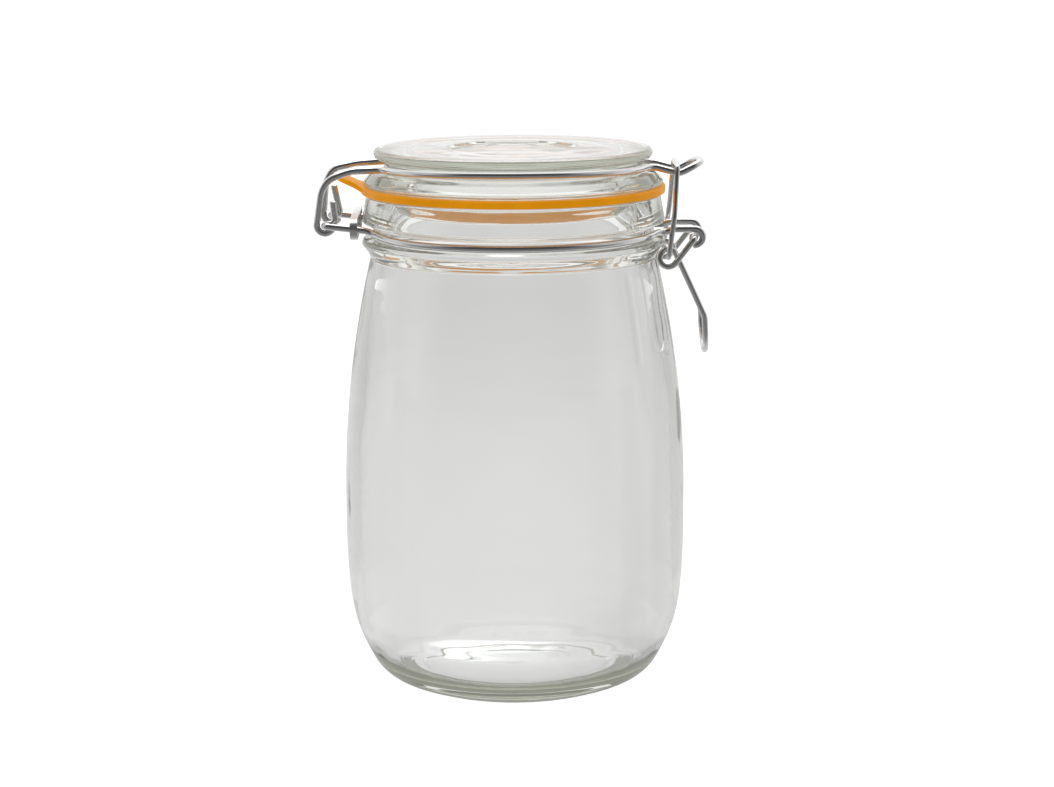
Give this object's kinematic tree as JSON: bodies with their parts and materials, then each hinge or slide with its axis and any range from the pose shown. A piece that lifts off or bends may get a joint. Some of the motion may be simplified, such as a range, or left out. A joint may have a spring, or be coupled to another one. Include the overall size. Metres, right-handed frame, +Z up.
{
  "type": "clip-top glass storage jar",
  "caption": "Round glass storage jar with a hinged glass lid, an orange rubber gasket and a wire clip with a lever, closed and empty.",
  "frame": {"origin": "centre of the jar's base, on the surface that it stands on", "axes": "+Z up along the jar's axis, the clip with its lever on the +X side, the hinge on the -X side, and -Y towards the viewer of the picture"},
  "size_m": [0.1264, 0.111, 0.1755],
  "materials": {
    "clear_glass": "clear pressed soda glass with a faint grey-green tint at thick edges",
    "orange_rubber": "matt natural orange rubber",
    "steel_wire": "bright plated round wire",
    "band_metal": "light grey metal strip"
  },
  "bodies": {
    "jar": {"jar_glass": "clear_glass", "neck_wire_near": "steel_wire", "neck_wire_far": "steel_wire", "hinge_band": "band_metal"},
    "lid": {"lid_glass": "clear_glass", "gasket": "orange_rubber", "lid_wire": "steel_wire"},
    "lever": {"lever_wire": "steel_wire"},
    "link": {"link_wire": "steel_wire"}
  },
  "joints": [
    {"name": "lid_hinge", "type": "hinge", "parent": "jar", "child": "lid", "pos_m": [-0.0597, 0, 0.1522], "axis": [0, -1, 0], "range_deg": [0, 105]},
    {"name": "lever_pivot", "type": "hinge", "parent": "jar", "child": "lever", "pos_m": [0.0579, 0, 0.1473], "axis": [0, -1, 0], "range_deg": [0, 60]},
    {"name": "link_pivot", "type": "hinge", "parent": "lever", "child": "link", "pos_m": [0.04935, 0, 0.14135], "axis": [0, -1, 0], "range_deg": [-125, 0]}
  ],
  "couplings": [
    {"joint": "lever_pivot", "follows": "lid_hinge", "ratio": 0.5714},
    {"joint": "link_pivot", "follows": "lid_hinge", "ratio": -1.19}
  ]
}
